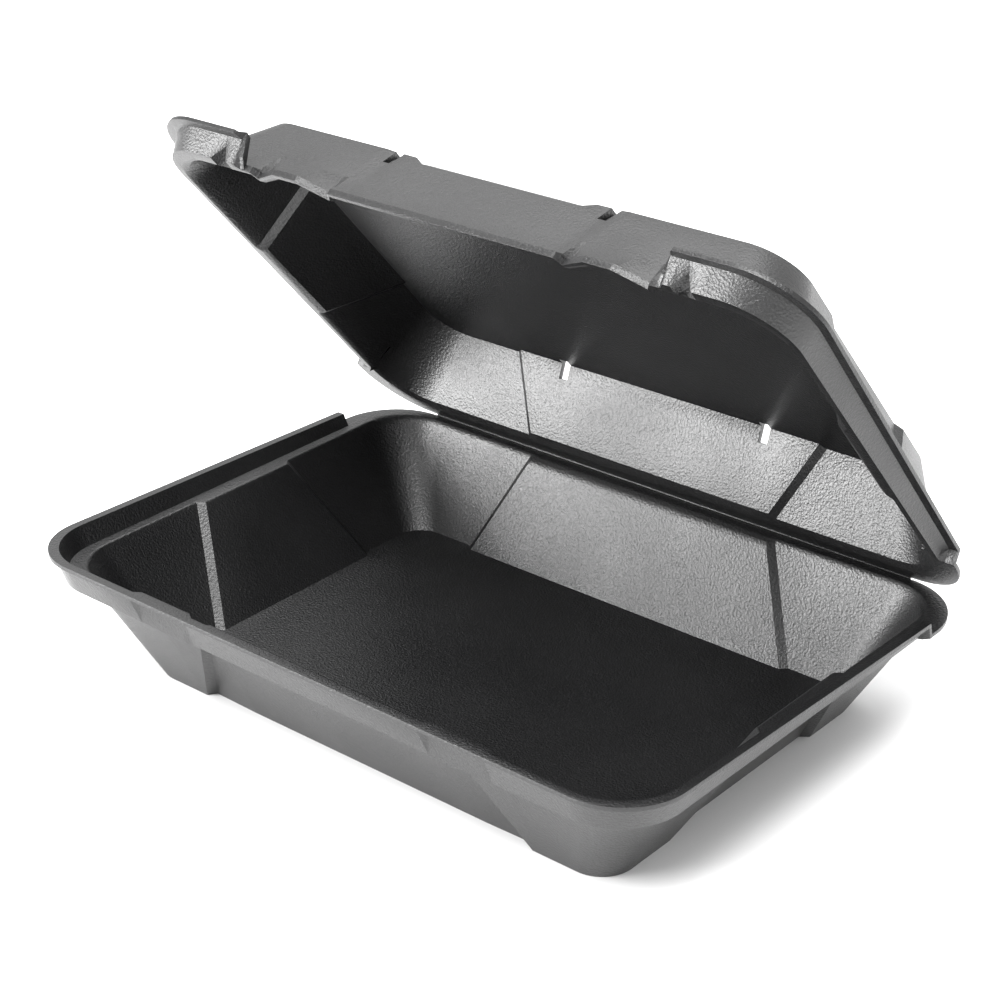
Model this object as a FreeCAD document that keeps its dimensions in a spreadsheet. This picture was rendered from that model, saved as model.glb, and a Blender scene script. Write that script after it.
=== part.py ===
"""Hinged foam takeaway container: a deep tray and a shallower lid on one rear fold line.

The tray stands on its flat base, centred on the origin, with the hinge along +X at the back.
Both halves are formed sheet of one gauge. The tray carries a ledge at hinge height and, on its
front and sides, a raised rim that is tallest at the front. The lid is drawn closed, as a dome
with a plug skirt that drops inside that rim, and is then swung open about the hinge line.
"""
import FreeCAD
import Part
import Sketcher
import os
from dataclasses import dataclass, replace

SIZES = {
    "sheet_gauge": (2.0, "thickness of the foam sheet"),
    "flange_length": (235.0, "overall length over the rim flange, along the hinge"),
    "flange_depth": (165.0, "hinge line to the front edge of the flange"),
    "flange_radius": (21.0, "front corner radius of the flange outline"),
    "hinge_radius": (22.0, "rear corner radius of the flange outline"),
    "base_length": (181.0, "outside length of the flat base"),
    "base_depth": (124.0, "outside depth of the flat base"),
    "base_radius": (9.0, "corner radius of the flat base"),
    "base_setback": (16.5, "hinge line to the rear edge of the base"),
    "ledge_height": (36.2, "table to the ledge, which is also the hinge height"),
    "ledge_length": (219.0, "length of the opening at the ledge's inner edge"),
    "ledge_front": (10.2, "flange's front edge to the ledge's inner edge"),
    "ledge_back": (4.2, "hinge line to the opening's rear edge"),
    "ledge_radius": (17.0, "corner radius of the opening at the ledge"),
    "rim_inset": (4.7, "flange edge to the foot of the raised rim"),
    "rim_lean": (0.28, "outward lean of the raised rim, width for height"),
    "rim_front": (7.3, "height of the raised rim above the ledge at the front"),
    "rim_hinge": (3.2, "height that the rim's slope would reach at the hinge line"),
    "rim_end": (26.0, "hinge line to the rear end of the raised rim"),
    "panel_inset": (2.2, "step from a wall's corner zones in to its middle panel"),
    "rib_run": (2.0, "width of the sloping step beside a middle panel"),
    "long_panel_base": (126.0, "width of the front and rear panels at the base"),
    "long_panel_ledge": (94.0, "width of the front and rear panels at the ledge"),
    "side_panel_base": (66.0, "width of the side panels at the base"),
    "side_panel_ledge": (37.0, "width of the side panels at the ledge"),
    "dome_height": (23.3, "inside height of the lid above its lip"),
    "dome_length": (191.0, "inside length of the lid at its top"),
    "dome_front": (23.5, "flange's front edge to the dome's top, inside"),
    "dome_back": (21.0, "hinge line to the dome's top, inside"),
    "dome_radius": (13.0, "corner radius of the dome's top"),
    "long_panel_dome": (118.0, "width of the lid's rear panel at the top"),
    "lid_front_inset": (0.5, "step from the lid's front wall in to its middle panel"),
    "lid_front_lip": (113.0, "width of the lid's front panel at the lip"),
    "lid_front_top": (75.0, "width of the lid's front panel at the top"),
    "side_panel_dome": (60.0, "width of the lid's side panels at the top"),
    "seat_gap": (0.3, "clearance between the closed lid and the tray"),
    "step_gap": (1.0, "room between the tray's rim end and the lid's hinge plate"),
    "hinge_gap": (0.15, "distance of each half's edge from the fold line"),
    "snap_centre": (56.5, "middle of the container to the middle of each snap"),
    "snap_width": (25.0, "width of each snap bulge in the tray's front rim"),
    "snap_depth": (1.6, "how far a snap bulge stands in from the rim"),
    "snap_flank": (2.4, "width of each sloping end of a snap bulge"),
    "lug_width": (28.0, "width of each lug on the lid's front edge, with its slopes"),
    "lug_flat": (8.0, "width of a lug's straight middle"),
    "lug_height": (3.4, "height of a lug's upright face"),
    "lug_reach": (2.6, "how far a lug stands out from the lid's plain front edge"),
    "lug_slope_top": (9.0, "height at which a lug's sloping back meets the wall"),
    "scoop_depth": (2.9, "how far the scoop at each end of a lug goes in from the plain edge"),
    "scoop_side": (2.0, "width of a scoop's steep outer side"),
    "plain_edge": (7.6, "flange's front edge to the lid's plain front edge"),
    "plain_width": (150.0, "width of the lid's front edge without flange or skirt"),
    "notch_width": (13.0, "width of the V notch at each end of the skirt"),
    "notch_height": (5.2, "height of the V notch"),
    "vent_centre": (39.5, "middle of the lid to each vent slot"),
    "vent_width": (3.4, "width of a vent slot"),
    "vent_drop": (4.6, "depth of a vent slot down from the lid's top"),
    "vent_reach": (10.0, "how far past the dome's wall a vent slot's cut begins"),
    "grip_width": (58.0, "width of the shallow grip in the lid's top front edge"),
    "grip_depth": (1.5, "depth of that grip at the edge"),
    "grip_reach": (2.2, "how far that grip reaches back over the top"),
    "open_angle": (49.0, "angle between the lid and its closed position"),
}

SPARE = 40.0
"""Reach of a cutting shape past the material that it removes."""

FLAT = 0.001
"""How far a wall's points may lie from a plane that it is counted as."""


def make_sheet(doc):
    """Write every driving dimension to the spreadsheet, one row and alias for each."""
    sheet = doc.addObject("Spreadsheet::Sheet", "Sizes")
    for row, (alias, (value, note)) in enumerate(SIZES.items(), start=1):
        sheet.set(f"A{row}", note)
        sheet.set(f"B{row}", str(value))
        sheet.setAlias(f"B{row}", alias)
    doc.recompute()
    return sheet


class Formula:
    """A length worked out from the sheet: its text, and its present value."""

    sheet = None

    def __init__(self, text):
        self.text = str(text)

    @property
    def value(self):
        return float(Formula.sheet.evalExpression(self.text))

    def __add__(self, other):
        return Formula(f"({self.text} + {as_text(other)})")

    def __sub__(self, other):
        return Formula(f"({self.text} - {as_text(other)})")

    def __mul__(self, other):
        return Formula(f"({self.text} * {as_text(other)})")

    def __truediv__(self, other):
        return Formula(f"({self.text} / {as_text(other)})")

    def __neg__(self):
        return Formula(f"(0 - {self.text})")


def as_text(item):
    """The text of a formula or a plain number."""
    return item.text if isinstance(item, Formula) else str(item)


def size(alias):
    """The formula that reads one cell of the sheet."""
    return Formula(f"Sizes.{alias}")


def slant(run, rise):
    """Width that the sheet's gauge takes, measured level, in a wall of this slope."""
    return size("sheet_gauge") * Formula(f"sqrt(1 + ({run.text} / {rise.text})^2)")


@dataclass(frozen=True)
class Ring:
    """A level outline of the container: a rounded rectangle, maybe with inset wall panels.

    The front panel is like the rear one, unless it has a width and a step of its own.
    """

    height: Formula
    half_length: Formula
    front: Formula
    back: Formula
    front_radius: Formula
    back_radius: Formula
    long_panel: Formula = None
    side_panel: Formula = None
    front_panel: Formula = None
    front_inset: Formula = None

    def shifted(self, outward, height):
        """The same outline, grown outward by a level distance, at another height."""
        return replace(self, height=height, half_length=self.half_length + outward,
                       front=self.front - outward, back=self.back + outward)

    def side_points(self):
        """Corner points of each side in turn, anticlockwise from the front left."""
        left, right = -self.half_length, self.half_length
        front, back = self.front, self.back
        near, far = self.front_radius, self.back_radius
        sides = [
            [(left + near, front), (right - near, front)],
            [(right, front + near), (right, back - far)],
            [(right - far, back), (left + far, back)],
            [(left, back - far), (left, front + near)],
        ]
        if self.long_panel is None:
            return sides
        inset, run = size("panel_inset"), size("rib_run")
        wide, deep = self.long_panel / 2, self.side_panel / 2
        near_wide = (self.front_panel or self.long_panel) / 2
        near_inset = self.front_inset or inset
        middle = (front + back) / 2
        steps = [
            [(-near_wide - run, front), (-near_wide, front + near_inset),
             (near_wide, front + near_inset), (near_wide + run, front)],
            [(right, middle - deep - run), (right - inset, middle - deep),
             (right - inset, middle + deep), (right, middle + deep + run)],
            [(wide + run, back), (wide, back - inset), (-wide, back - inset), (-wide - run, back)],
            [(left, middle + deep + run), (left + inset, middle + deep),
             (left + inset, middle - deep), (left, middle - deep - run)],
        ]
        return [[side[0], *step, side[1]] for side, step in zip(sides, steps)]


def origin_feature(body, role):
    """One of a body's own origin planes."""
    return next(item for item in body.Origin.OriginFeatures if item.Role == role)


def new_sketch(body, name, height, tilt=None, plane="XY_Plane"):
    """An empty sketch on one of the body's planes, raised and maybe tilted about X."""
    sketch = body.newObject("Sketcher::SketchObject", name)
    sketch.AttachmentSupport = (origin_feature(body, plane), [""])
    sketch.MapMode = "FlatFace"
    sketch.setExpression(".AttachmentOffset.Base.z", height.text)
    if tilt is not None:
        sketch.AttachmentOffset = FreeCAD.Placement(
            FreeCAD.Vector(0, 0, height.value), FreeCAD.Rotation(FreeCAD.Vector(1, 0, 0), 1.0))
        sketch.setExpression(".AttachmentOffset.Rotation.Angle", tilt.text)
    return sketch


def fix_point(sketch, edge, end, point):
    """Tie one end of an edge to its place, measured from the sketch's origin."""
    for kind, formula in zip(("DistanceX", "DistanceY"), point):
        index = sketch.addConstraint(
            Sketcher.Constraint(kind, -1, 1, edge, end, formula.value))
        sketch.setExpression(f"Constraints[{index}]", formula.text)


def draw_polygon(sketch, points):
    """Draw a closed polygon and tie each corner to its formulas."""
    places = [FreeCAD.Vector(x.value, y.value, 0) for x, y in points]
    count = len(points)
    sketch.addGeometry([Part.LineSegment(places[i], places[(i + 1) % count]) for i in range(count)])
    for i in range(count):
        sketch.addConstraint(Sketcher.Constraint("Coincident", i, 2, (i + 1) % count, 1))
        fix_point(sketch, i, 1, points[i])


def corner_arc(start, end, radius):
    """A quarter arc between two tangent points of a convex corner."""
    chord = end - start
    middle = (start + end) / 2
    outward = FreeCAD.Vector(chord.y, -chord.x, 0).normalize()
    sagitta = radius * (1 - 0.5 ** 0.5)
    return Part.Arc(start, middle + outward * sagitta, end)


def draw_ring(sketch, ring):
    """Draw a ring's straight runs and corner arcs and tie them to its formulas."""
    sides = ring.side_points()
    radii = [ring.front_radius, ring.back_radius, ring.back_radius, ring.front_radius]
    edges, anchors, arcs = [], [], []
    for index, side in enumerate(sides):
        places = [FreeCAD.Vector(x.value, y.value, 0) for x, y in side]
        for i in range(len(side) - 1):
            anchors.append((len(edges), side[i]))
            edges.append(Part.LineSegment(places[i], places[i + 1]))
        following = sides[(index + 1) % len(sides)][0]
        corner = FreeCAD.Vector(following[0].value, following[1].value, 0)
        anchors.append((len(edges), side[-1]))
        arcs.append((len(edges), radii[index]))
        edges.append(corner_arc(places[-1], corner, radii[index].value))
    sketch.addGeometry(edges)
    count = len(edges)
    for i in range(count):
        sketch.addConstraint(Sketcher.Constraint("Coincident", i, 2, (i + 1) % count, 1))
    for edge, point in anchors:
        fix_point(sketch, edge, 1, point)
    for edge, radius in arcs:
        index = sketch.addConstraint(Sketcher.Constraint("Radius", edge, radius.value))
        sketch.setExpression(f"Constraints[{index}]", radius.text)


def ring_sketch(body, name, ring):
    """A level sketch of one ring."""
    sketch = new_sketch(body, name, ring.height)
    draw_ring(sketch, ring)
    return sketch


def add_loft(body, name, low, high, cut=False):
    """Join two rings with straight walls, as added or removed material."""
    kind = "PartDesign::SubtractiveLoft" if cut else "PartDesign::AdditiveLoft"
    loft = body.newObject(kind, name)
    loft.Profile = ring_sketch(body, f"{name}_low", low)
    loft.Sections = [ring_sketch(body, f"{name}_high", high)]
    loft.Ruled = True
    return loft


def add_prism(body, name, sketch, length, cut=False, downward=False, both=False):
    """Raise or sink a sketched outline by a length along its own normal."""
    prism = body.newObject("PartDesign::Pocket" if cut else "PartDesign::Pad", name)
    prism.Profile = sketch
    prism.Type = "Length"
    prism.setExpression("Length", length.text)
    prism.Midplane = both
    prism.Reversed = not downward if cut else downward
    return prism


def rectangle(left, right, low, high):
    """Corner points of an upright rectangle."""
    return [(left, low), (right, low), (right, high), (left, high)]


class Layout:
    """Lines and rings that the tray and the lid share."""

    def __init__(self):
        self.gauge = size("sheet_gauge")
        self.hinge = size("base_depth") / 2 + size("base_setback")
        self.front = self.hinge - size("flange_depth")
        self.edge = size("flange_length") / 2
        self.plate_back = self.hinge - size("hinge_gap")
        self.ledge = size("ledge_height")
        self.rim_stop = self.hinge - size("rim_end")
        self.slope = Formula("atan((Sizes.rim_front - Sizes.rim_hinge) / Sizes.flange_depth)")

    def flange(self, height):
        """The outline of the whole flange, seen from above."""
        return Ring(height, self.edge, self.front, self.plate_back,
                    size("flange_radius"), size("hinge_radius"))

    def opening(self, height):
        """The ledge's inner edge, where the tray's walls begin."""
        return Ring(height, size("ledge_length") / 2, self.front + size("ledge_front"),
                    self.hinge - size("ledge_back"), size("ledge_radius"), size("ledge_radius"),
                    size("long_panel_ledge"), size("side_panel_ledge"))

    def rim_foot(self, height):
        """The foot of the raised rim, on its inner side, open towards the hinge."""
        inset = size("rim_inset")
        radius = size("flange_radius") - inset / 2
        return Ring(height, self.edge - inset, self.front + inset, self.plate_back,
                    radius, size("hinge_radius"))

    def rim_plane(self, rise):
        """Height, on the middle line, of a plane parallel to the rim's sloping top."""
        climb = (size("rim_front") - size("rim_hinge")) / size("flange_depth")
        middle = climb * self.hinge
        return self.ledge + size("rim_hinge") + middle + rise


def lean_ring(ring, rise):
    """A ring moved up, and out as far as the raised rim leans over that rise."""
    outward = size("rim_lean") * rise
    moved = ring.shifted(outward, ring.height + rise)
    return replace(moved, back=ring.back)


def cut_above(body, name, height, tilt=None):
    """Remove everything above a level or tilted plane."""
    sketch = new_sketch(body, f"{name}_sketch", height, tilt)
    reach = size("flange_length")
    draw_polygon(sketch, rectangle(-reach, reach, -reach, reach))
    return add_prism(body, name, sketch, Formula(SPARE), cut=True)


def cut_behind(body, name, height, layout):
    """Remove what stands above a height behind the rear end of the raised rim."""
    sketch = new_sketch(body, f"{name}_sketch", height)
    reach = size("flange_length")
    draw_polygon(sketch, rectangle(-reach, reach, layout.rim_stop, reach))
    return add_prism(body, name, sketch, Formula(SPARE), cut=True)


def add_hinge_plate(body, name, height, front, layout):
    """The level plate from a front line, near the raised rim's rear end, to the fold line."""
    sketch = new_sketch(body, f"{name}_sketch", height)
    plate = replace(layout.flange(height), front=front, front_radius=layout.gauge / 2)
    draw_ring(sketch, plate)
    return add_prism(body, name, sketch, layout.gauge)


def add_flange(body, name, rise, layout):
    """The flange on the raised rim, its underside or top on the rim's sloping plane."""
    sketch = new_sketch(body, f"{name}_sketch", layout.rim_plane(rise), layout.slope * -1)
    draw_ring(sketch, layout.flange(rise))
    return add_prism(body, name, sketch, layout.gauge)


def base_ring(layout):
    """The edge of the flat base, outside."""
    half_depth = size("base_depth") / 2
    return Ring(Formula(0), size("base_length") / 2, -half_depth, half_depth,
                size("base_radius"), size("base_radius"),
                size("long_panel_base"), size("side_panel_base"))


def tray_wall_width(layout):
    """Level thickness of the tray's sloping walls, by the slope of its ends."""
    run = (size("ledge_length") - size("base_length")) / 2
    return slant(run, layout.ledge)


def add_tray_cup(body, layout):
    """The tray's main wall, outside: from the flat base up to the ledge."""
    mouth = layout.opening(layout.ledge)
    outer = mouth.shifted(tray_wall_width(layout), layout.ledge)
    outer = replace(outer, back=mouth.back)
    add_loft(body, "cup", base_ring(layout), outer)


def add_tray_rim(body, layout):
    """The ledge, the raised rim with its sloping top, and the hinge plate."""
    foot = layout.rim_foot(layout.ledge - layout.gauge)
    outside = replace(foot.shifted(layout.gauge, foot.height), back=foot.back)
    rise = size("rim_front") + layout.gauge
    add_loft(body, "rim", outside, lean_ring(outside, rise))
    cut_above(body, "rim_slope", layout.rim_plane(Formula(0)), layout.slope * -1)
    add_flange(body, "flange", -layout.gauge, layout)
    cut_behind(body, "rim_rear", layout.ledge, layout)
    front = layout.rim_stop - layout.gauge
    add_hinge_plate(body, "hinge_plate", layout.ledge - layout.gauge, front, layout)


def cut_tray_cavity(body, layout):
    """The food space, and the space inside the raised rim above the ledge."""
    mouth = layout.opening(layout.ledge)
    base = base_ring(layout)
    width = tray_wall_width(layout)
    climb = (size("ledge_length") - size("base_length")) / 2 / layout.ledge * layout.gauge
    floor = base.shifted(climb - width, layout.gauge)
    add_loft(body, "food_space", floor, mouth, cut=True)
    foot = replace(layout.rim_foot(layout.ledge), back=layout.hinge + SPARE)
    rise = size("rim_front") + layout.gauge
    add_loft(body, "rim_space", foot, lean_ring(foot, rise), cut=True)


def snap_outline(layout, side, inner, outer):
    """Plan of one snap bulge: its inner face is narrower than its root."""
    half = size("snap_width") / 2
    flank = size("snap_flank")
    middle = size("snap_centre") * side
    return [(middle - half, outer), (middle + half, outer),
            (middle + half - flank, inner), (middle - half + flank, inner)]


def add_snap_bulges(body, layout):
    """Two inward bulges in the front rim, each hollow outside, that hold the lid's lugs."""
    lean = size("rim_lean") * size("rim_front")
    face = layout.front + size("rim_inset") - lean + size("snap_depth")
    rise = size("rim_front") - size("seat_gap")
    for side, label in ((-1, "left"), (1, "right")):
        bulge = new_sketch(body, f"snap_{label}_sketch", layout.ledge)
        draw_polygon(bulge, snap_outline(layout, side, face, face - size("snap_depth") - layout.gauge / 2))
        add_prism(body, f"snap_{label}", bulge, rise)
    for side, label in ((-1, "left"), (1, "right")):
        hollow = new_sketch(body, f"snap_hollow_{label}_sketch", layout.ledge)
        inner = face - layout.gauge
        draw_polygon(hollow, snap_outline(layout, side, inner, layout.front - layout.gauge))
        add_prism(body, f"snap_hollow_{label}", hollow, rise - layout.gauge, cut=True)


def build_tray(doc, layout):
    """The deep lower half."""
    body = doc.addObject("PartDesign::Body", "tray")
    body.Label = "tray"
    add_tray_cup(body, layout)
    add_tray_rim(body, layout)
    cut_tray_cavity(body, layout)
    add_snap_bulges(body, layout)
    return body


def lid_lip(layout):
    """The inner edge of the lid's lip, which stands over the tray's own opening."""
    lip = layout.opening(layout.ledge + size("seat_gap"))
    return replace(lip, back=lip.back - layout.gauge * 2,
                   front_panel=size("lid_front_lip"), front_inset=size("lid_front_inset"))


def lid_top(layout):
    """The inside edge of the dome's flat top."""
    return Ring(layout.ledge + size("seat_gap") + size("dome_height"), size("dome_length") / 2,
                layout.front + size("dome_front"), layout.hinge - size("dome_back"),
                size("dome_radius"), size("dome_radius"),
                size("long_panel_dome"), size("side_panel_dome"),
                size("lid_front_top"), size("lid_front_inset"))


def lid_wall_width(layout):
    """Level thickness of the dome's sloping walls."""
    run = (size("ledge_length") - size("dome_length")) / 2
    return slant(run, size("dome_height"))


def add_lid_rim(body, layout):
    """The lid's lip, its plug skirt and flange, and its hinge plate."""
    seat = size("seat_gap")
    foot = layout.rim_foot(layout.ledge + seat).shifted(-seat, layout.ledge + seat)
    foot = replace(foot, back=layout.plate_back)
    rise = size("rim_front") + layout.gauge * 2
    add_loft(body, "skirt", foot, lean_ring(foot, rise))
    cut_above(body, "skirt_slope", layout.rim_plane(seat + layout.gauge), layout.slope * -1)
    add_flange(body, "flange", seat, layout)
    cut_behind(body, "skirt_rear", layout.ledge + seat + layout.gauge, layout)
    inner = replace(foot.shifted(-layout.gauge, foot.height + layout.gauge), back=layout.hinge + SPARE)
    add_loft(body, "gutter", inner, lean_ring(inner, rise), cut=True)
    front = layout.rim_stop + size("step_gap")
    add_hinge_plate(body, "hinge_plate", layout.ledge + seat, front, layout)


def add_lid_dome(body, layout):
    """The dome: outside, then the space under it."""
    lip, top = lid_lip(layout), lid_top(layout)
    width = lid_wall_width(layout)
    climb = (size("ledge_length") - size("dome_length")) / 2 / size("dome_height") * layout.gauge
    roof = top.shifted(width - climb, top.height + layout.gauge)
    add_loft(body, "dome", lip.shifted(width, lip.height), roof)
    return lip, top


def trim_lid_front(body, layout):
    """Take the flange and skirt off the middle of the front, between two V notches."""
    edge = layout.front + size("plain_edge")
    low = layout.ledge - layout.gauge
    half = size("plain_width") / 2
    outline = rectangle(-half, half, layout.front - SPARE, edge)
    plain = new_sketch(body, "plain_edge_sketch", low)
    draw_polygon(plain, outline)
    add_prism(body, "plain_edge", plain, Formula(SPARE), cut=True)
    for side, label in ((-1, "left"), (1, "right")):
        middle = (half + size("notch_width") / 2) * side
        notch = new_sketch(body, f"notch_{label}_sketch", -edge, plane="XZ_Plane")
        reach = size("notch_width") / 2
        foot = layout.ledge - layout.gauge
        draw_polygon(notch, [(middle - reach, foot), (middle + reach, foot),
                             (middle, layout.ledge + size("notch_height"))])
        add_prism(body, f"notch_{label}", notch, Formula(SPARE), cut=True)


def front_wall(layout, height):
    """Where the dome's front wall has its outside, at a height above the lip."""
    slope = (size("dome_front") - size("ledge_front")) / size("dome_height")
    return layout.front + size("ledge_front") - lid_wall_width(layout) + slope * height


def add_lugs(body, layout):
    """Two lugs on the plain front edge, each with a back that slopes up to the dome's wall."""
    edge = layout.front + size("plain_edge")
    face = edge - size("lug_reach")
    foot = layout.ledge + size("seat_gap")
    root = edge + size("dome_front") / 2
    top = size("lug_slope_top")
    for side, label in ((-1, "left"), (1, "right")):
        middle = size("snap_centre") * side
        profile = new_sketch(body, f"lug_{label}_sketch", middle, plane="YZ_Plane")
        draw_polygon(profile, [(face, foot), (root, foot), (root, foot + top),
                               (front_wall(layout, top), foot + top),
                               (face, foot + size("lug_height"))])
        add_prism(body, f"lug_{label}", profile, size("lug_width"), both=True)


def scoop_outline(layout, lug, end):
    """Plan of the scoop at one end of a lug: a long slope in, then a steep side out again."""
    middle = size("snap_centre") * lug
    deepest = middle + size("lug_width") / 2 * end
    edge = layout.front + size("plain_edge")
    face = edge - size("lug_reach")
    start = (middle + size("lug_flat") / 2 * end, face)
    finish = (deepest + size("scoop_side") * end, face)
    bottom = (deepest, edge + size("scoop_depth"))
    return [start, finish, bottom] if end > 0 else [finish, start, bottom]


def scoop_back(layout):
    """Side view of the bulge behind a scoop, which keeps the wall at the sheet's gauge."""
    foot = layout.ledge + size("seat_gap")
    skin = layout.gauge / 4
    near = front_wall(layout, Formula(0)) + skin
    far = layout.front + size("plain_edge") + size("scoop_depth") + lid_wall_width(layout)
    slope = (size("dome_front") - size("ledge_front")) / size("dome_height")
    return [(near, foot), (far, foot), (far, foot + (far - near) / slope)]


def shape_scoops(body, layout):
    """Press the wall in at both ends of each lug, with a bulge inside behind each scoop."""
    spots = [(lug, end, f"{side}_{place}") for lug, side in ((-1, "left"), (1, "right"))
             for end, place in ((-1, "first"), (1, "second"))]
    width = size("lug_width") - size("lug_flat")
    for lug, end, label in spots:
        middle = size("snap_centre") * lug + (size("lug_width") / 2 + layout.gauge - width / 4) * end
        bulge = new_sketch(body, f"bulge_{label}_sketch", middle, plane="YZ_Plane")
        draw_polygon(bulge, scoop_back(layout))
        add_prism(body, f"bulge_{label}", bulge, width / 2 + layout.gauge, both=True)
    for lug, end, label in spots:
        scoop = new_sketch(body, f"scoop_{label}_sketch", layout.ledge - layout.gauge)
        draw_polygon(scoop, scoop_outline(layout, lug, end))
        add_prism(body, f"scoop_{label}", scoop, Formula(SPARE), cut=True)


def cut_vents(body, layout):
    """Four vent slots through the dome's top edges, two at the front and two at the back."""
    top = lid_top(layout)
    low = top.height - size("vent_drop")
    reach = layout.gauge * 2
    half = size("vent_width") / 2
    beyond = size("vent_reach")
    rows = (("front", top.front - beyond, top.front + size("lid_front_inset") + reach),
            ("back", top.back - size("panel_inset") - reach, top.back + beyond))
    for row, near, far in rows:
        for side, label in ((-1, "left"), (1, "right")):
            middle = size("vent_centre") * side
            slot = new_sketch(body, f"vent_{row}_{label}_sketch", low)
            draw_polygon(slot, rectangle(middle - half, middle + half, near, far))
            add_prism(body, f"vent_{row}_{label}", slot, Formula(SPARE), cut=True)


def cut_grip(body, layout):
    """A shallow grip: the top front edge is pressed flat between the vents."""
    roof = lid_top(layout).height + layout.gauge
    corner = front_wall(layout, size("dome_height") + layout.gauge)
    deep, back = size("grip_depth"), size("grip_reach")
    profile = new_sketch(body, "grip_sketch", Formula(0), plane="YZ_Plane")
    draw_polygon(profile, [(corner - back, roof - deep * 2), (corner + back * 2, roof + deep),
                           (corner - back, roof + deep)])
    add_prism(body, "grip", profile, size("grip_width"), cut=True, both=True)


def build_lid(doc, layout):
    """The shallower upper half, drawn closed and then swung open."""
    body = doc.addObject("PartDesign::Body", "lid")
    body.Label = "lid"
    add_lid_rim(body, layout)
    lip, top = add_lid_dome(body, layout)
    trim_lid_front(body, layout)
    add_lugs(body, layout)
    cut_grip(body, layout)
    add_loft(body, "dome_space", lip, top, cut=True)
    shape_scoops(body, layout)
    cut_vents(body, layout)
    hinge_line = FreeCAD.Vector(0, layout.hinge.value, hinge_level(layout).value)
    swing = FreeCAD.Rotation(FreeCAD.Vector(-1, 0, 0), size("open_angle").value)
    body.Placement = FreeCAD.Placement(FreeCAD.Vector(0, 0, 0), swing, hinge_line)
    return body


def hinge_level(layout):
    """Height of the fold line, midway between the two closed plates."""
    return layout.ledge + size("seat_gap") / 2


def with_flat_walls(shape):
    """The same solid, with each flat wall that was ruled between two edges made a true plane."""
    faces = []
    for face in shape.Faces:
        ruled = face.Surface.TypeId != "Part::GeomPlane" and len(face.Wires) == 1
        plane = face.findPlane(FLAT) if ruled else None
        if plane is None:
            faces.append(face)
            continue
        flat = Part.Face(plane, face.OuterWire)
        middle = face.CenterOfMass
        facing = face.normalAt(*face.Surface.parameter(middle))
        if flat.normalAt(*flat.Surface.parameter(middle)).dot(facing) < 0:
            flat.reverse()
        faces.append(flat)
    return Part.Solid(Part.Shell(faces))


def check(doc, bodies):
    """Stop if any feature failed or a piece is not one sound solid."""
    for item in doc.Objects:
        if "Invalid" in item.State or "Error" in item.State:
            raise RuntimeError(f"{item.Name} failed: {item.State}")
    for body in bodies:
        shape = body.Shape
        if shape.isNull() or not shape.isValid() or len(shape.Solids) != 1:
            raise RuntimeError(f"{body.Label} is not one valid solid")
        flat = with_flat_walls(shape.Solids[0])
        if not flat.isValid() or abs(flat.Volume - shape.Volume) > shape.Volume * FLAT:
            raise RuntimeError(f"{body.Label} changed as its flat walls were made planes")
        print(body.Label, "volume", round(flat.Volume), "faces", len(flat.Faces))


def main():
    """Build the document and write one file for each piece."""
    doc = FreeCAD.newDocument("container")
    Formula.sheet = make_sheet(doc)
    layout = Layout()
    bodies = [build_tray(doc, layout), build_lid(doc, layout)]
    doc.recompute()
    check(doc, bodies)
    os.makedirs("parts", exist_ok=True)
    for body in bodies:
        with_flat_walls(body.Shape.Solids[0]).exportStep(f"parts/{body.Label}.step")


main()
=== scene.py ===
"""Looks of a hinged black foam takeaway container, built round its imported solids.

The tray and the lid are each modelled as one formed sheet: a grid is bent into nested outlines,
from the middle of the flat panel out to the flange, then given the sheet's gauge and soft edges.
Sizes are in millimetres in the container's own frame, and become metres when a mesh is placed.
"""
import logging
import math
from dataclasses import dataclass, replace
from enum import Enum

import bpy
from mathutils import Matrix, Vector


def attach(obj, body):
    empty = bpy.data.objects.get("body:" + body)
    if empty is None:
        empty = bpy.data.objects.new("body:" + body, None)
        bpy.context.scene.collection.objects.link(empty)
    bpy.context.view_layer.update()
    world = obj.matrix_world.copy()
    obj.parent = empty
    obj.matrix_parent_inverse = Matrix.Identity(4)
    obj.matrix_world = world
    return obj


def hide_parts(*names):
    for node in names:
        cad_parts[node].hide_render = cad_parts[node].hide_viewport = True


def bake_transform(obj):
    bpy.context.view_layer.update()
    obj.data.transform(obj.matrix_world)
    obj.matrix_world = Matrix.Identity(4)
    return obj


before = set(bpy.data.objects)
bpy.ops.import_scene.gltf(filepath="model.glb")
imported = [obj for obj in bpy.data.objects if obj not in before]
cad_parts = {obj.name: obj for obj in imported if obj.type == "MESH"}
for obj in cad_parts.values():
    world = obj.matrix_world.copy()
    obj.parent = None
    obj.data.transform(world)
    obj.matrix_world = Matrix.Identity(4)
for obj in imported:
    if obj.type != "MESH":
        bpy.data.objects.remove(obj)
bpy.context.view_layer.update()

MM = 0.001
LOG = logging.getLogger("container")


class Side(Enum):
    """The four sides of an outline, in anticlockwise order from the front."""

    FRONT = 0
    RIGHT = 1
    BACK = 2
    LEFT = 3


@dataclass(frozen=True)
class Form:
    """Sizes that the tray and the lid share."""

    gauge: float = 2.0
    hinge_y: float = 78.5
    ledge_z: float = 36.2
    hinge_z: float = 36.35
    flange_half: float = 117.5
    flange_front: float = -86.5
    plate_back: float = 78.35
    rim_front: float = 7.3
    rim_hinge: float = 3.2
    rim_stop: float = 52.5
    rim_lean: float = 0.28
    rim_inset: float = 4.7
    panel_inset: float = 2.2
    rib_run: float = 2.0
    seat: float = 0.3
    open_angle: float = 49.0
    pressed_edge: float = 0.6
    fold_limit: float = 1.35

    def rim_z(self, y: float) -> float:
        """Height of the raised rim's sloping top at a place along the depth."""
        climb = (self.rim_front - self.rim_hinge) / (self.hinge_y - self.flange_front)
        return self.ledge_z + self.rim_hinge + climb * (self.hinge_y - y)


FORM = Form()


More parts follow.
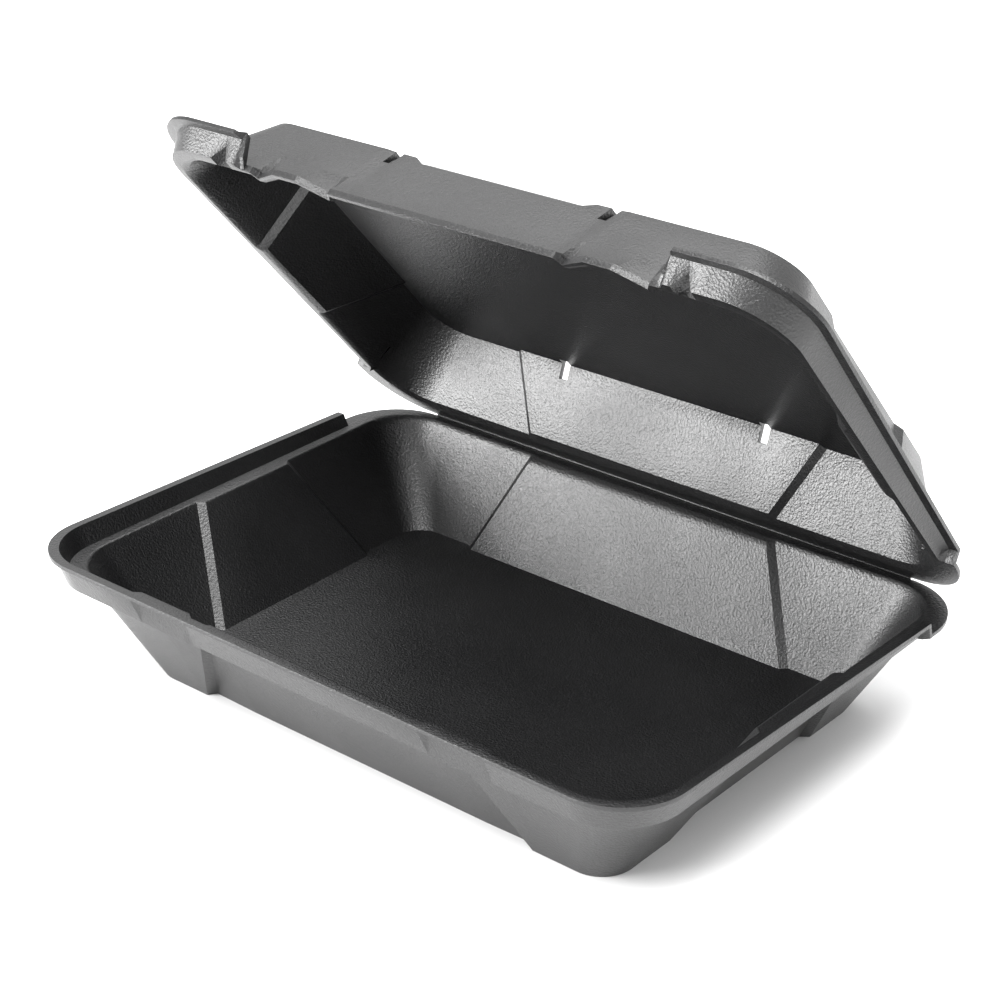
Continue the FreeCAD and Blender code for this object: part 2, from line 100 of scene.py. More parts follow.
@dataclass(frozen=True)
class Outline:
    """A rounded rectangle with straight sides, some of which step in to a middle panel.

    Attributes:
        half: Half of its length along the hinge.
        front: Place of its front side.
        back: Place of its back side.
        front_radius: Radius of the front corners.
        back_radius: Radius of the back corners.
        height: Height of the outline.
        inset: How far the middle panels step in.
        long_panel: Half width of the back panel, and of the front one if that has none of its own.
        side_panel: Half width of the side panels.
        front_panel: Half width of the front panel, where it differs.
        front_inset: How far the front panel steps in, where it differs.
    """

    half: float
    front: float
    back: float
    front_radius: float
    back_radius: float
    height: float
    inset: float = 0.0
    long_panel: float = 47.0
    side_panel: float = 18.5
    front_panel: float | None = None
    front_inset: float | None = None

    def step(self, place: float, panel: float, inset: float) -> float:
        """How far the wall steps in at a place measured from its panel's middle."""
        share = (panel + FORM.rib_run - abs(place)) / FORM.rib_run
        return inset * min(1.0, max(0.0, share))

    def side_point(self, side: Side, place: float) -> tuple[float, float]:
        """Plan position of a place along one side, with the panel's step taken in."""
        middle = (self.front + self.back) / 2
        if side is Side.FRONT:
            panel = self.long_panel if self.front_panel is None else self.front_panel
            inset = self.inset if self.front_inset is None else self.front_inset
            return place, self.front + self.step(place, panel, inset)
        if side is Side.BACK:
            return place, self.back - self.step(place, self.long_panel, self.inset)
        step = self.step(place - middle, self.side_panel, self.inset)
        return (self.half - step if side is Side.RIGHT else step - self.half), place


@dataclass(frozen=True)
class Column:
    """One line that runs across all outlines, from the middle of the panel to the flange.

    Attributes:
        inner: Its place along the side at the base or roof.
        outer: Its place along the side at the ledge and beyond.
        rib: Whether it follows a panel's edge, with these two places counted from that edge.
    """

    inner: float
    outer: float
    rib: int = 0


@dataclass(frozen=True)
class Plan:
    """All columns of one half, side by side, and the fineness of its corners."""

    long_front: tuple[Column, ...]
    long_back: tuple[Column, ...]
    side: tuple[Column, ...]
    corner_steps: int = 18

    def places(self, outline: Outline, side: Side, share: float) -> list[float]:
        """Places of this side's columns on one outline, in anticlockwise order.

        Args:
            outline: The outline that they are wanted on.
            side: The side of it.
            share: How far out the outline is, from 0 at the base to 1 at the ledge.

        Returns:
            The places along the side.
        """
        columns = {Side.FRONT: self.long_front, Side.BACK: self.long_back}.get(side, self.side)
        along_length = side in (Side.FRONT, Side.BACK)
        panel = outline.long_panel if along_length else outline.side_panel
        middle = 0.0 if along_length else (outline.front + outline.back) / 2
        found = []
        for column in columns:
            if column.rib:
                found.append(middle + column.rib * (panel + column.outer * FORM.rib_run))
            else:
                found.append(column.inner + (column.outer - column.inner) * share)
        return sorted(found, reverse=side in (Side.BACK, Side.LEFT))

    def ring(self, outline: Outline, share: float) -> list[tuple[Side | None, Vector]]:
        """Every point of one outline, in anticlockwise order, each with its side.

        Args:
            outline: The outline to walk round.
            share: How far out it is, from 0 at the base to 1 at the ledge.

        Returns:
            Pairs of a side, or None in a corner, and a point.
        """
        near, far = outline.front_radius, outline.back_radius
        left, right = near - outline.half, outline.half - near
        corners = {
            Side.FRONT: (Vector((right, outline.front + near)), near, -90.0),
            Side.RIGHT: (Vector((outline.half - far, outline.back - far)), far, 0.0),
            Side.BACK: (Vector((far - outline.half, outline.back - far)), far, 90.0),
            Side.LEFT: (Vector((left, outline.front + near)), near, 180.0),
        }
        points: list[tuple[Side | None, Vector]] = []
        for side in Side:
            for place in self.places(outline, side, share):
                points.append((side, Vector((*outline.side_point(side, place), outline.height))))
            centre, radius, start = corners[side]
            for index in range(self.corner_steps + 1):
                angle = math.radians(start + 90.0 * index / self.corner_steps)
                spot = centre + Vector((math.cos(angle), math.sin(angle))) * radius
                points.append((None, Vector((*spot, outline.height))))
        return points


def mirrored(*columns: Column) -> tuple[Column, ...]:
    """The columns of one half of a side, and their mirror images."""
    others = tuple(Column(-c.inner, -c.outer, -c.rib) if not c.rib
                   else Column(c.inner, c.outer, -c.rib) for c in columns)
    return columns + others


def deselect() -> None:
    """Leave edit mode and select nothing."""
    if bpy.context.object and bpy.context.object.mode != "OBJECT":
        bpy.ops.object.mode_set(mode="OBJECT")
    bpy.ops.object.select_all(action="DESELECT")


def sheet_from_rings(name: str, rings: list[list[Vector]]) -> bpy.types.Object:
    """Bend a grid into nested closed outlines and fill the innermost one.

    Args:
        name: The new object's name.
        rings: The outlines, innermost first, each with as many points as the others.

    Returns:
        The sheet, still without thickness.
    """
    deselect()
    count = len(rings[0])
    bpy.ops.mesh.primitive_grid_add(x_subdivisions=count, y_subdivisions=len(rings) - 1, size=1.0)
    piece = bpy.context.object
    piece.name = name
    for vertex in piece.data.vertices:
        row, column = divmod(vertex.index, count + 1)
        vertex.co = rings[row][column % count] * MM
    bpy.ops.object.mode_set(mode="EDIT")
    bpy.ops.mesh.select_all(action="SELECT")
    bpy.ops.mesh.remove_doubles(threshold=0.00001)
    bpy.ops.mesh.select_all(action="DESELECT")
    bpy.ops.object.mode_set(mode="OBJECT")
    inner = {tuple(round(c, 6) for c in point * MM) for point in rings[0]}
    for vertex in piece.data.vertices:
        vertex.select = tuple(round(c, 6) for c in vertex.co) in inner
    bpy.ops.object.mode_set(mode="EDIT")
    bpy.ops.mesh.edge_face_add()
    bpy.ops.object.mode_set(mode="OBJECT")
    rim = {tuple(round(c, 6) for c in point * MM) for point in rings[-1]}
    gauge = piece.vertex_groups.new(name="gauge")
    for vertex in piece.data.vertices:
        pressed = tuple(round(c, 6) for c in vertex.co) in rim
        gauge.add([vertex.index], FORM.pressed_edge if pressed else 1.0, "REPLACE")
    return piece


def delete_faces(piece: bpy.types.Object, chosen) -> int:
    """Delete the faces whose centre passes a test.

    Args:
        piece: The mesh to cut.
        chosen: A test of a face's centre, in millimetres.

    Returns:
        How many faces went.
    """
    deselect()
    bpy.context.view_layer.objects.active = piece
    piece.select_set(True)
    bpy.ops.object.mode_set(mode="EDIT")
    bpy.ops.mesh.select_mode(type="FACE")
    bpy.ops.mesh.select_all(action="DESELECT")
    bpy.ops.object.mode_set(mode="OBJECT")
    gone = 0
    for face in piece.data.polygons:
        face.select = bool(chosen(face.center / MM))
        gone += face.select
    bpy.ops.object.mode_set(mode="EDIT")
    bpy.ops.mesh.delete(type="FACE")
    bpy.ops.mesh.select_mode(type="VERT")
    bpy.ops.object.mode_set(mode="OBJECT")
    return gone


def thicken(piece: bpy.types.Object, gauge: float, soft: float) -> None:
    """Give a sheet its thickness and soften its edges.

    Args:
        piece: The sheet.
        gauge: Its thickness in millimetres, added against its faces' normals.
        soft: The width of the softened edges in millimetres.
    """
    deselect()
    bpy.context.view_layer.objects.active = piece
    piece.select_set(True)
    sheet = [vertex.co.copy() for vertex in piece.data.vertices]
    wall = piece.modifiers.new("gauge", "SOLIDIFY")
    wall.thickness = gauge * MM
    wall.offset = -1.0
    wall.use_even_offset = True
    wall.vertex_group = "gauge"
    wall.thickness_vertex_group = 0.0
    bpy.ops.object.modifier_apply(modifier=wall.name)
    furthest = FORM.fold_limit * gauge * MM
    vertices = piece.data.vertices
    for index, source in enumerate(sheet):
        pair = (vertices[index], vertices[index + len(sheet)])
        moved = max(pair, key=lambda vertex: (vertex.co - source).length)
        reach = moved.co - source
        if reach.length > furthest:
            moved.co = source + reach * (furthest / reach.length)
    edge = piece.modifiers.new("soft edges", "BEVEL")
    edge.width = soft * MM
    edge.segments = 3
    edge.limit_method = "ANGLE"
    edge.angle_limit = math.radians(28.0)
    edge.use_clamp_overlap = True
    edge.harden_normals = False
    bpy.ops.object.modifier_apply(modifier=edge.name)
    bpy.ops.object.shade_smooth_by_angle(angle=math.radians(35.0))


def part_way(ring: list[Vector], other: list[Vector], share: float) -> list[Vector]:
    """The outline that lies part of the way from one outline to another."""
    return [near.lerp(far, share) for near, far in zip(ring, other)]


def opened() -> Matrix:
    """The turn about the fold line that opens the closed lid, in metres."""
    hinge = Matrix.Translation(Vector((0.0, FORM.hinge_y, FORM.hinge_z)) * MM)
    swing = Matrix.Rotation(math.radians(-FORM.open_angle), 4, "X")
    return hinge @ swing @ hinge.inverted()


@dataclass(frozen=True)
class BlackFoam:
    """Formed black foam: a satin skin with fine mottled grain and faint cloudy sheen."""

    colour: tuple[float, float, float] = (0.0022, 0.0022, 0.0024)
    pale: tuple[float, float, float] = (0.005, 0.005, 0.0053)
    roughness: float = 0.34
    grain_scale: float = 1700.0
    grain_height: float = 0.0002

    def grain_group(self) -> bpy.types.NodeTree:
        """The shader group of the skin's grain, made once."""
        name = "Foam Grain"
        if name in bpy.data.node_groups:
            return bpy.data.node_groups[name]
        group = bpy.data.node_groups.new(name, "ShaderNodeTree")
        face = group.interface
        face.new_socket("Scale", in_out="INPUT", socket_type="NodeSocketFloat").default_value = 900.0
        face.new_socket("Height", in_out="OUTPUT", socket_type="NodeSocketFloat")
        face.new_socket("Mottle", in_out="OUTPUT", socket_type="NodeSocketFloat")
        face.new_socket("Cloud", in_out="OUTPUT", socket_type="NodeSocketFloat")
        nodes, links = group.nodes, group.links
        start = nodes.new("NodeGroupInput")
        end = nodes.new("NodeGroupOutput")
        where = nodes.new("ShaderNodeTexCoord")
        fine = nodes.new("ShaderNodeTexNoise")
        fine.inputs["Detail"].default_value = 3.0
        fine.inputs["Roughness"].default_value = 0.6
        links.new(where.outputs["Object"], fine.inputs["Vector"])
        links.new(start.outputs["Scale"], fine.inputs["Scale"])
        cells = nodes.new("ShaderNodeTexVoronoi")
        cells.feature = "F1"
        wider = nodes.new("ShaderNodeMath")
        wider.operation = "MULTIPLY"
        wider.inputs[1].default_value = 0.7
        links.new(start.outputs["Scale"], wider.inputs[0])
        links.new(wider.outputs[0], cells.inputs["Scale"])
        links.new(where.outputs["Object"], cells.inputs["Vector"])
        both = nodes.new("ShaderNodeMath")
        both.operation = "MULTIPLY_ADD"
        both.inputs[1].default_value = 0.55
        links.new(cells.outputs["Distance"], both.inputs[0])
        links.new(fine.outputs["Fac"], both.inputs[2])
        links.new(both.outputs[0], end.inputs["Height"])
        links.new(fine.outputs["Fac"], end.inputs["Mottle"])
        cloud = nodes.new("ShaderNodeTexNoise")
        cloud.inputs["Scale"].default_value = 22.0
        cloud.inputs["Detail"].default_value = 1.0
        links.new(where.outputs["Object"], cloud.inputs["Vector"])
        links.new(cloud.outputs["Fac"], end.inputs["Cloud"])
        return group

    def material(self) -> bpy.types.Material:
        """The finished material."""
        made = bpy.data.materials.new("black_foam")
        made.use_nodes = True
        nodes, links = made.node_tree.nodes, made.node_tree.links
        skin = nodes["Principled BSDF"]
        skin.inputs["Specular IOR Level"].default_value = 0.62
        skin.inputs["Sheen Weight"].default_value = 0.0
        grain = nodes.new("ShaderNodeGroup")
        grain.node_tree = self.grain_group()
        grain.inputs["Scale"].default_value = self.grain_scale
        tint = nodes.new("ShaderNodeMix")
        tint.data_type = "RGBA"
        tint.inputs["A"].default_value = (*self.colour, 1.0)
        tint.inputs["B"].default_value = (*self.pale, 1.0)
        links.new(grain.outputs["Mottle"], tint.inputs["Factor"])
        links.new(tint.outputs["Result"], skin.inputs["Base Color"])
        gloss = nodes.new("ShaderNodeMapRange")
        gloss.inputs["From Min"].default_value = 0.3
        gloss.inputs["From Max"].default_value = 0.7
        gloss.inputs["To Min"].default_value = self.roughness - 0.05
        gloss.inputs["To Max"].default_value = self.roughness + 0.07
        links.new(grain.outputs["Cloud"], gloss.inputs["Value"])
        links.new(gloss.outputs["Result"], skin.inputs["Roughness"])
        bump = nodes.new("ShaderNodeBump")
        bump.inputs["Strength"].default_value = 0.8
        bump.inputs["Distance"].default_value = self.grain_height
        links.new(grain.outputs["Height"], bump.inputs["Height"])
        links.new(bump.outputs["Normal"], skin.inputs["Normal"])
        return made


@dataclass
class Tray:
    """The deep lower half: base, walls, ledge, raised rim and hinge plate."""

    base_half: float = 90.5
    base_depth_half: float = 62.0
    base_radius: float = 9.0
    opening_half: float = 109.5
    opening_front: float = -76.3
    opening_back: float = 74.3
    opening_radius: float = 17.0
    snap_near: float = 44.0
    snap_far: float = 69.0
    snap_flank: float = 2.4
    snap_depth: float = 1.6
    roll_steps: int = 4

    def plan(self) -> Plan:
        """Columns at the ribs, the snap bulges and the rear end of the raised rim."""
        ribs = (Column(0, 0, 1), Column(1, 1, 1))
        snaps = tuple(Column(place, place) for place in (
            self.snap_near, self.snap_near + self.snap_flank,
            self.snap_far - self.snap_flank, self.snap_far))
        stops = (Column(44.0, FORM.rim_stop), Column(45.0, FORM.rim_stop + 1.0))
        return Plan(mirrored(*ribs, *snaps), mirrored(*ribs), mirrored(*ribs) + stops)

    def base(self, inward: float, height: float) -> Outline:
        """The outline of the floor, or one inside it."""
        return Outline(self.base_half - inward, inward - self.base_depth_half,
                       self.base_depth_half - inward, self.base_radius, self.base_radius, height,
                       FORM.panel_inset, 63.0, 33.0)

    def opening(self) -> Outline:
        """The ledge's inner edge."""
        return Outline(self.opening_half, self.opening_front, self.opening_back,
                       self.opening_radius, self.opening_radius, FORM.ledge_z,
                       FORM.panel_inset, 47.0, 18.5)

    def is_raised(self, side: Side | None, point: Vector) -> bool:
        """Whether the rim stands up at this point of an outline."""
        return side is not Side.BACK and point.y < FORM.rim_stop + 0.5

    def rolled(self, floor: list[Vector], mouth: list[Vector], foot: list[Vector],
               sides: list[Side | None]) -> list[list[Vector]]:
        """Outlines that round the wall over into the ledge, widely at the back.

        Args:
            floor: Points of the wall's lower edge.
            mouth: Points of the sharp edge that is rounded.
            foot: Points of the ledge's outer edge.
            sides: The side of each column.

        Returns:
            The outlines, from the wall up to the ledge.
        """
        made = []
        for index in range(self.roll_steps + 1):
            share = index / self.roll_steps
            ring = []
            for low, edge, out, side in zip(floor, mouth, foot, sides):
                reach = 3.4 if side is Side.BACK or edge.y > 62.0 else 0.9
                start = edge + (low - edge).normalized() * reach
                level = min(reach, (out - edge).length * 0.8)
                finish = edge + (out - edge).normalized() * level
                ring.append(start.lerp(edge, share).lerp(edge.lerp(finish, share), share))
            made.append(ring)
        return made

    def rings(self) -> list[list[Vector]]:
        """All outlines of the tray's upper face, from the floor's middle to the flange."""
        plan = self.plan()
        climb = 1.05
        width = 2.26
        floor = self.base(width - climb, FORM.gauge)
        inner = replace(self.base(12.0, FORM.gauge), inset=0.0, front_radius=4.0, back_radius=4.0)
        lean = FORM.rim_lean * FORM.rim_front
        foot = Outline(FORM.flange_half - FORM.rim_inset, FORM.flange_front + FORM.rim_inset,
                       FORM.plate_back - 2.9, 18.6, 20.0, FORM.ledge_z)
        top = replace(foot, half=foot.half + lean, front=foot.front - lean,
                      back=FORM.plate_back - 1.4, front_radius=20.0, back_radius=21.0)
        edge = replace(foot, half=FORM.flange_half, front=FORM.flange_front,
                       back=FORM.plate_back, front_radius=21.0, back_radius=22.0)
        walked = {name: plan.ring(outline, share) for name, outline, share in (
            ("inner", inner, 0.0), ("floor", floor, 0.0), ("mouth", self.opening(), 1.0),
            ("foot", foot, 1.0), ("top", top, 1.0), ("edge", edge, 1.0))}
        sides = [side for side, _ in walked["foot"]]
        points = {name: [point for _, point in ring] for name, ring in walked.items()}
        for name in ("top", "edge"):
            for side, point in zip(sides, points[name]):
                if self.is_raised(side, point):
                    point.z = FORM.rim_z(point.y)
        for side, point in zip(sides, points["top"]):
            place = abs(point.x)
            if side is Side.FRONT and self.snap_near + 1.0 < place < self.snap_far - 1.0:
                point.y += self.snap_depth
        roll = self.rolled(points["floor"], points["mouth"], points["foot"], sides)
        return [points["inner"], points["floor"], *roll, points["foot"], points["top"], points["edge"]]

    def build(self, foam: bpy.types.Material) -> bpy.types.Object:
        """Model the tray, dress it and put it in the solid's place."""
        rings = [list(reversed(ring)) for ring in self.rings()]
        piece = sheet_from_rings("tray_sheet", rings)
        thicken(piece, FORM.gauge, 0.7)
        for vertex in piece.data.vertices:
            vertex.co.z = max(vertex.co.z, 0.0)
        piece.data.materials.append(foam)
        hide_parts("tray")
        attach(piece, "tray")
        return piece


@dataclass
class Lid:
    """The shallower upper half, shaped closed and then swung open about the fold."""

    opening_half: float = 109.5
    opening_front: float = -76.3
    opening_back: float = 70.3
    opening_radius: float = 17.0
    roof_half: float = 95.5
    roof_front: float = -63.0
    roof_back: float = 57.5
    roof_radius: float = 13.0
    dome_height: float = 23.3
    front_inset: float = 0.5
    vent_near: float = 37.8
    vent_far: float = 41.2
    vent_drop: float = 4.6
    grip_half: float = 29.0
    grip_drop: float = 1.9
    lug_centre: float = 56.5
    lug_flat_half: float = 4.5
    lug_half: float = 14.0
    lug_reach: float = 2.6
    scoop_side: float = 1.6
    scoop_depth: float = 2.9
    scoop_top: float = 8.2
    plain_edge: float = 7.6
    plain_half: float = 75.0
    ramp_start: float = 75.6
    ramp_end: float = 78.5
    notch_apex: float = 83.2
    notch_half: float = 3.2
    notch_height: float = 4.8
    cut_away_mark: float = -160.0

    def plan(self) -> Plan:
        """Columns at the ribs, vents, grip, lugs, notches and the rear end of the skirt."""
        ribs = (Column(0, 0, 1), Column(1, 1, 1))
        vents = (Column(self.vent_near, self.vent_near), Column(self.vent_far, self.vent_far))
        lug, flat = self.lug_centre, self.lug_flat_half
        front = (Column(self.grip_half, self.grip_half), Column(33.0, 33.0),
                 Column(self.vent_near, 37.0), Column(self.vent_far, 39.2),
                 Column(44.0, lug - self.lug_half - self.scoop_side),
                 Column(46.0, lug - self.lug_half), Column(53.5, lug - flat),
                 Column(60.0, lug + flat), Column(67.5, lug + self.lug_half),
                 Column(69.0, lug + self.lug_half + self.scoop_side),
                 Column(71.0, self.plain_half), Column(72.0, self.ramp_start),
                 Column(73.0, 76.4), Column(73.5, (self.ramp_start + self.ramp_end) / 2),
                 Column(74.2, 77.8), Column(75.2, self.ramp_end),
                 Column(76.3, self.notch_apex - self.notch_half), Column(77.2, self.notch_apex),
                 Column(78.1, self.notch_apex + self.notch_half), Column(79.0, 89.5))
        stops = (Column(39.0, FORM.rim_stop + 0.4), Column(41.0, FORM.rim_stop + 1.9))
        return Plan(mirrored(*front), mirrored(*ribs, *vents), mirrored(*ribs) + stops)

    @property
    def lip_z(self) -> float:
        """Height of the closed lid's lip."""
        return FORM.ledge_z + FORM.seat

    @property
    def plain_front(self) -> float:
        """Where the plain front edge runs between the lugs."""
        return FORM.flange_front + self.plain_edge

    def rise(self, side: Side | None, point: Vector) -> float:
        """Share of the skirt's full height at a point of its outline."""
        if side is Side.BACK or point.y > FORM.rim_stop + 0.5:
            return 0.0
        if side is not Side.FRONT:
            return 1.0
        share = (abs(point.x) - self.ramp_start) / (self.ramp_end - self.ramp_start)
        share = min(1.0, max(0.0, share))
        return share * share * (3.0 - 2.0 * share)

    def lift(self, side: Side | None, point: Vector) -> float:
        """Share of the flange's full height, which it keeps until it is as narrow as the rim."""
        return min(1.0, 2.0 * self.rise(side, point))

    def lug_share(self, place: float) -> tuple[float, float]:
        """How fully a place stands out as a lug, and how fully it is pressed in as a scoop."""
        beyond = abs(abs(place) - self.lug_centre)
        slope = self.lug_half - self.lug_flat_half
        if beyond <= self.lug_half:
            inward = min(1.0, max(0.0, (beyond - self.lug_flat_half) / slope))
            return 1.0 - inward, inward
        return 0.0, max(0.0, 1.0 - (beyond - self.lug_half) / self.scoop_side)

    def notch_share(self, place: float) -> float:
        """How far a place is inside the V notch, from 0 at its ends to 1 at its point."""
        return max(0.0, 1.0 - abs(abs(place) - self.notch_apex) / self.notch_half)

    def shape_front(self, points: dict[str, list[Vector]], index: int) -> None:
        """Give one column of the front its lug, scoop, notch or flange end.

        Args:
            points: The lid's outlines by name, changed in place.
            index: The column.
        """
        foot, top, edge = (points[name][index] for name in ("foot", "top", "edge"))
        place = foot.x
        rise = self.rise(Side.FRONT, foot)
        out, pressed = self.lug_share(place)
        if abs(place) <= self.ramp_start + 0.01:
            foot.y = self.plain_front - self.lug_reach * out + self.scoop_depth * pressed
        else:
            foot.y = self.plain_front + (foot.y - self.plain_front) * min(1.0, rise * 1.5)
        spread = max(0.0, 2.0 * rise - 1.0)
        top.y = foot.y - 0.1 + (top.y - foot.y + 0.1) * self.lift(Side.FRONT, foot)
        edge.y = top.y - 0.1 + (edge.y - top.y + 0.1) * spread
        if abs(place) <= self.plain_half + 0.01:
            top.y = edge.y = self.cut_away_mark
        shift = self.scoop_depth * pressed - (self.lug_reach - 0.4) * out
        tent = self.notch_height * self.notch_share(place)
        foot.z += tent
        points["lip_in"][index].z += tent * 0.7
        points["low_wall"][index].y += shift
        points["lip_in"][index].y += shift
        if abs(place) <= self.grip_half + 0.01:
            wall = points["lip"][index] - points["roof"][index]
            points["roof"][index] += wall * (self.grip_drop / self.dome_height)

    def rings(self) -> list[list[Vector]]:
        """All outlines of the lid's underside, from the roof's middle to the flange."""
        plan = self.plan()
        roof_z = self.lip_z + self.dome_height
        roof = Outline(self.roof_half, self.roof_front, self.roof_back, self.roof_radius,
                       self.roof_radius, roof_z, FORM.panel_inset, 59.0, 30.0,
                       self.vent_far, self.front_inset)
        sill = replace(roof, half=roof.half - 2.4, front=roof.front + 2.4, back=roof.back - 2.4,
                       front_radius=11.0, back_radius=11.0)
        inner = replace(roof, half=roof.half - 12.0, front=roof.front + 12.0,
                        back=roof.back - 12.0, front_radius=4.0, back_radius=4.0, inset=0.0,
                        front_inset=0.0)
        lip = Outline(self.opening_half, self.opening_front, self.opening_back,
                      self.opening_radius, self.opening_radius, self.lip_z, FORM.panel_inset,
                      47.0, 18.5, 39.2, self.front_inset)
        lean = FORM.rim_lean * FORM.rim_front
        inset = FORM.rim_inset + FORM.seat
        foot = Outline(FORM.flange_half - inset, FORM.flange_front + inset,
                       FORM.plate_back - 3.0, 18.6, 20.0, self.lip_z)
        top = replace(foot, half=foot.half + lean, front=foot.front - lean,
                      back=FORM.plate_back - 1.4, front_radius=20.0, back_radius=21.0)
        edge = replace(foot, half=FORM.flange_half, front=FORM.flange_front,
                       back=FORM.plate_back, front_radius=21.0, back_radius=22.0)
        walked = {name: plan.ring(outline, share) for name, outline, share in (
            ("inner", inner, 0.0), ("sill", sill, 0.0), ("roof", roof, 0.0), ("lip", lip, 1.0),
            ("foot", foot, 1.0), ("top", top, 1.0), ("edge", edge, 1.0))}
        sides = [side for side, _ in walked["foot"]]
        points = {name: [point for _, point in ring] for name, ring in walked.items()}
        for side, foot_point, top_point, edge_point in zip(
                sides, points["foot"], points["top"], points["edge"]):
            for point in (top_point, edge_point):
                full = FORM.rim_z(point.y) + FORM.seat - self.lip_z
                point.z = self.lip_z + full * self.lift(side, foot_point)
        points["high"] = part_way(points["roof"], points["lip"], self.vent_drop / self.dome_height)
        points["scoop"] = part_way(points["lip"], points["roof"], self.scoop_top / self.dome_height)
        points["low_wall"] = part_way(points["lip"], points["roof"], 1.0 / self.dome_height)
        points["lip_in"] = part_way(points["lip"], points["foot"], 0.28)
        for index, side in enumerate(sides):
            if side is Side.FRONT:
                self.shape_front(points, index)
        return [points[name] for name in (
            "inner", "sill", "roof", "high", "scoop", "low_wall", "lip_in", "foot", "top", "edge")]

    def is_cut_away(self, centre: Vector) -> bool:
        """Whether a face belongs to a vent slot or to the flange that the front lacks."""
        if centre.y < FORM.flange_front - 2.0:
            return True
        roof_z = self.lip_z + self.dome_height
        in_vent = self.vent_near - 0.4 < abs(centre.x) < self.vent_far
        near_wall = min(abs(centre.y - self.roof_front), abs(centre.y - self.roof_back)) < 5.0
        return in_vent and near_wall and centre.z > roof_z - self.vent_drop

    def build(self, foam: bpy.types.Material) -> bpy.types.Object:
        """Model the lid, open it to its resting angle, dress it and put it in the solid's place."""
        piece = sheet_from_rings("lid_sheet", self.rings())
        gone = delete_faces(piece, self.is_cut_away)
        LOG.info("lid: %d faces cut away", gone)
        thicken(piece, FORM.gauge, 0.6)
        piece.data.transform(opened())
        piece.data.materials.append(foam)
        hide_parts("lid")
        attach(piece, "lid")
        return piece


@dataclass
class FoldWeb:
    """The pressed web that joins the two halves behind the fold, shaped to the lid's resting angle."""

    half: float = 95.0
    tray_side: tuple[tuple[float, float], ...] = ((77.6, 35.75), (78.3, 35.1))
    lid_side: tuple[tuple[float, float], ...] = ((78.3, 37.6), (77.6, 36.95))
    back: tuple[float, float] = (79.15, 36.1)
    middle: tuple[float, float] = (78.5, 36.3)

    def build(self, foam: bpy.types.Material) -> bpy.types.Object:
        """Model the web along the fold, from the tray's side to the opened lid's side."""
        swing = opened()
        lid_side = [(swing @ (Vector((0.0, y, z)) * MM)) / MM for y, z in self.lid_side]
        section = [Vector((0.0, *point)) for point in (*self.tray_side, self.back)]
        section += [*lid_side, Vector((0.0, *self.middle))]
        deselect()
        bpy.ops.mesh.primitive_circle_add(vertices=len(section), radius=1.0, fill_type="NGON")
        piece = bpy.context.object
        piece.name = "fold_web"
        for vertex, point in zip(piece.data.vertices, section):
            vertex.co = Vector((-self.half, point.y, point.z)) * MM
        bpy.ops.object.mode_set(mode="EDIT")
        bpy.ops.mesh.select_all(action="SELECT")
        bpy.ops.mesh.extrude_region_move(
            TRANSFORM_OT_translate={"value": (2.0 * self.half * MM, 0.0, 0.0)})
        bpy.ops.mesh.select_all(action="SELECT")
        bpy.ops.mesh.normals_make_consistent(inside=False)
        bpy.ops.object.mode_set(mode="OBJECT")
        edge = piece.modifiers.new("soft edges", "BEVEL")
        edge.width = 0.15 * MM
        edge.segments = 2
        bpy.ops.object.modifier_apply(modifier=edge.name)
        bpy.ops.object.shade_smooth_by_angle(angle=math.radians(50.0))
        piece.data.materials.append(foam)
        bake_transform(piece)
        return piece


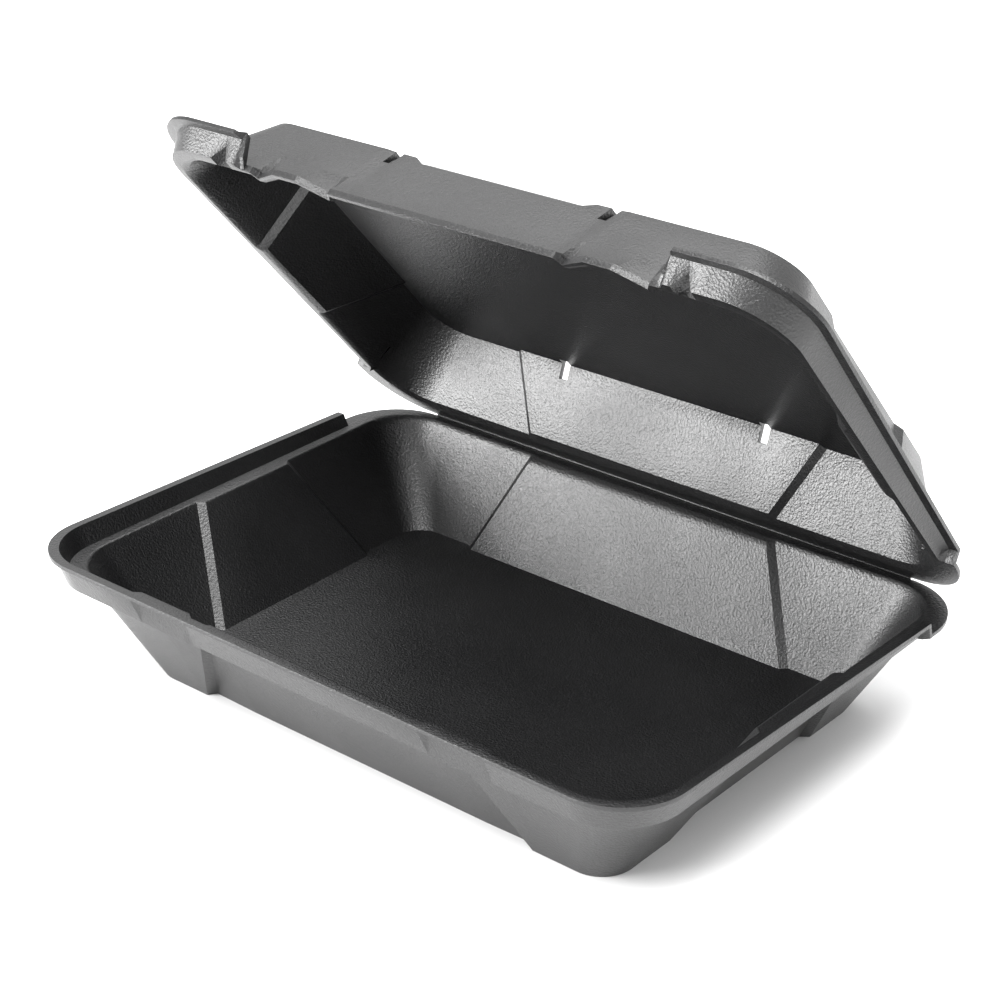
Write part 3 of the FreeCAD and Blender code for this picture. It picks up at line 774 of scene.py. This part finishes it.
@dataclass
class Studio:
    """Camera, floor and lights."""

    camera_place: tuple[float, float, float] = (0.39997, -0.46437, 0.36480)
    heading: float = -40.684
    dip: float = 26.230
    roll: float = -0.642
    focal_pixels: float = 2313.1
    frame_pixels: float = 1000.0
    surround_strength: float = 1.15

    def camera(self) -> None:
        """Create the camera at the photographed viewing angle."""
        place = Vector(self.camera_place)
        azimuth, height = math.radians(self.heading), math.radians(-self.dip)
        ahead = Vector((math.sin(azimuth) * math.cos(height),
                        math.cos(azimuth) * math.cos(height), math.sin(height)))
        right = Vector((math.cos(azimuth), -math.sin(azimuth), 0.0))
        up = right.cross(ahead)
        turn = math.radians(self.roll)
        level = right * math.cos(turn) + up * math.sin(turn)
        raised = up * math.cos(turn) - right * math.sin(turn)
        data = bpy.data.cameras.new("camera")
        data.sensor_width = 36.0
        data.lens = data.sensor_width * self.focal_pixels / self.frame_pixels
        data.clip_start = 0.01
        camera = bpy.data.objects.new("camera", data)
        bpy.context.scene.collection.objects.link(camera)
        axes = Matrix((level, raised, -ahead)).transposed().to_4x4()
        camera.matrix_world = Matrix.Translation(place) @ axes
        bpy.context.scene.camera = camera

    def floor(self) -> None:
        """A plain pale floor."""
        deselect()
        bpy.ops.mesh.primitive_plane_add(size=6.0, location=(0.0, 0.0, 0.0))
        floor = bpy.context.object
        floor.name = "floor"
        made = bpy.data.materials.new("floor")
        made.use_nodes = True
        skin = made.node_tree.nodes["Principled BSDF"]
        skin.inputs["Base Color"].default_value = (0.86, 0.86, 0.86, 1.0)
        skin.inputs["Roughness"].default_value = 0.9
        floor.data.materials.append(made)

    def light(self, name: str, place: Vector, size: tuple[float, float], power: float) -> None:
        """One soft rectangular light that looks at the container."""
        data = bpy.data.lights.new(name, "AREA")
        data.shape = "RECTANGLE"
        data.size, data.size_y = size
        data.energy = power
        lamp = bpy.data.objects.new(name, data)
        bpy.context.scene.collection.objects.link(lamp)
        lamp.location = place
        aim = Vector((0.0, 0.0, 0.06)) - place
        lamp.rotation_euler = aim.to_track_quat("-Z", "Y").to_euler()

    def surround(self) -> None:
        """A plain white surround."""
        world = bpy.data.worlds.new("surround")
        bpy.context.scene.world = world
        world.use_nodes = True
        shade = world.node_tree.nodes["Background"]
        shade.inputs["Color"].default_value = (1.0, 1.0, 1.0, 1.0)
        shade.inputs["Strength"].default_value = self.surround_strength

    def lights(self) -> None:
        """The surround, a low broad light at the front left and two from above."""
        self.surround()
        self.light("front_left", Vector((-1.25, -1.55, 0.45)), (1.3, 0.9), 100.0)
        self.light("high_front", Vector((0.34, -0.85, 1.75)), (1.0, 0.8), 60.0)
        self.light("overhead", Vector((-0.5, 0.6, 1.7)), (1.6, 1.2), 25.0)
        bpy.context.scene.view_settings.view_transform = "Standard"


def main() -> None:
    """Build every piece in order and log how many faces each has."""
    logging.basicConfig(level=logging.INFO, format="%(name)s: %(message)s")
    foam = BlackFoam().material()
    for maker in (Tray(), Lid(), FoldWeb()):
        piece = maker.build(foam)
        LOG.info("%s: %d faces", piece.name, len(piece.data.polygons))
    studio = Studio()
    studio.floor()
    studio.camera()
    studio.lights()


if __name__ == "__main__":
    main()
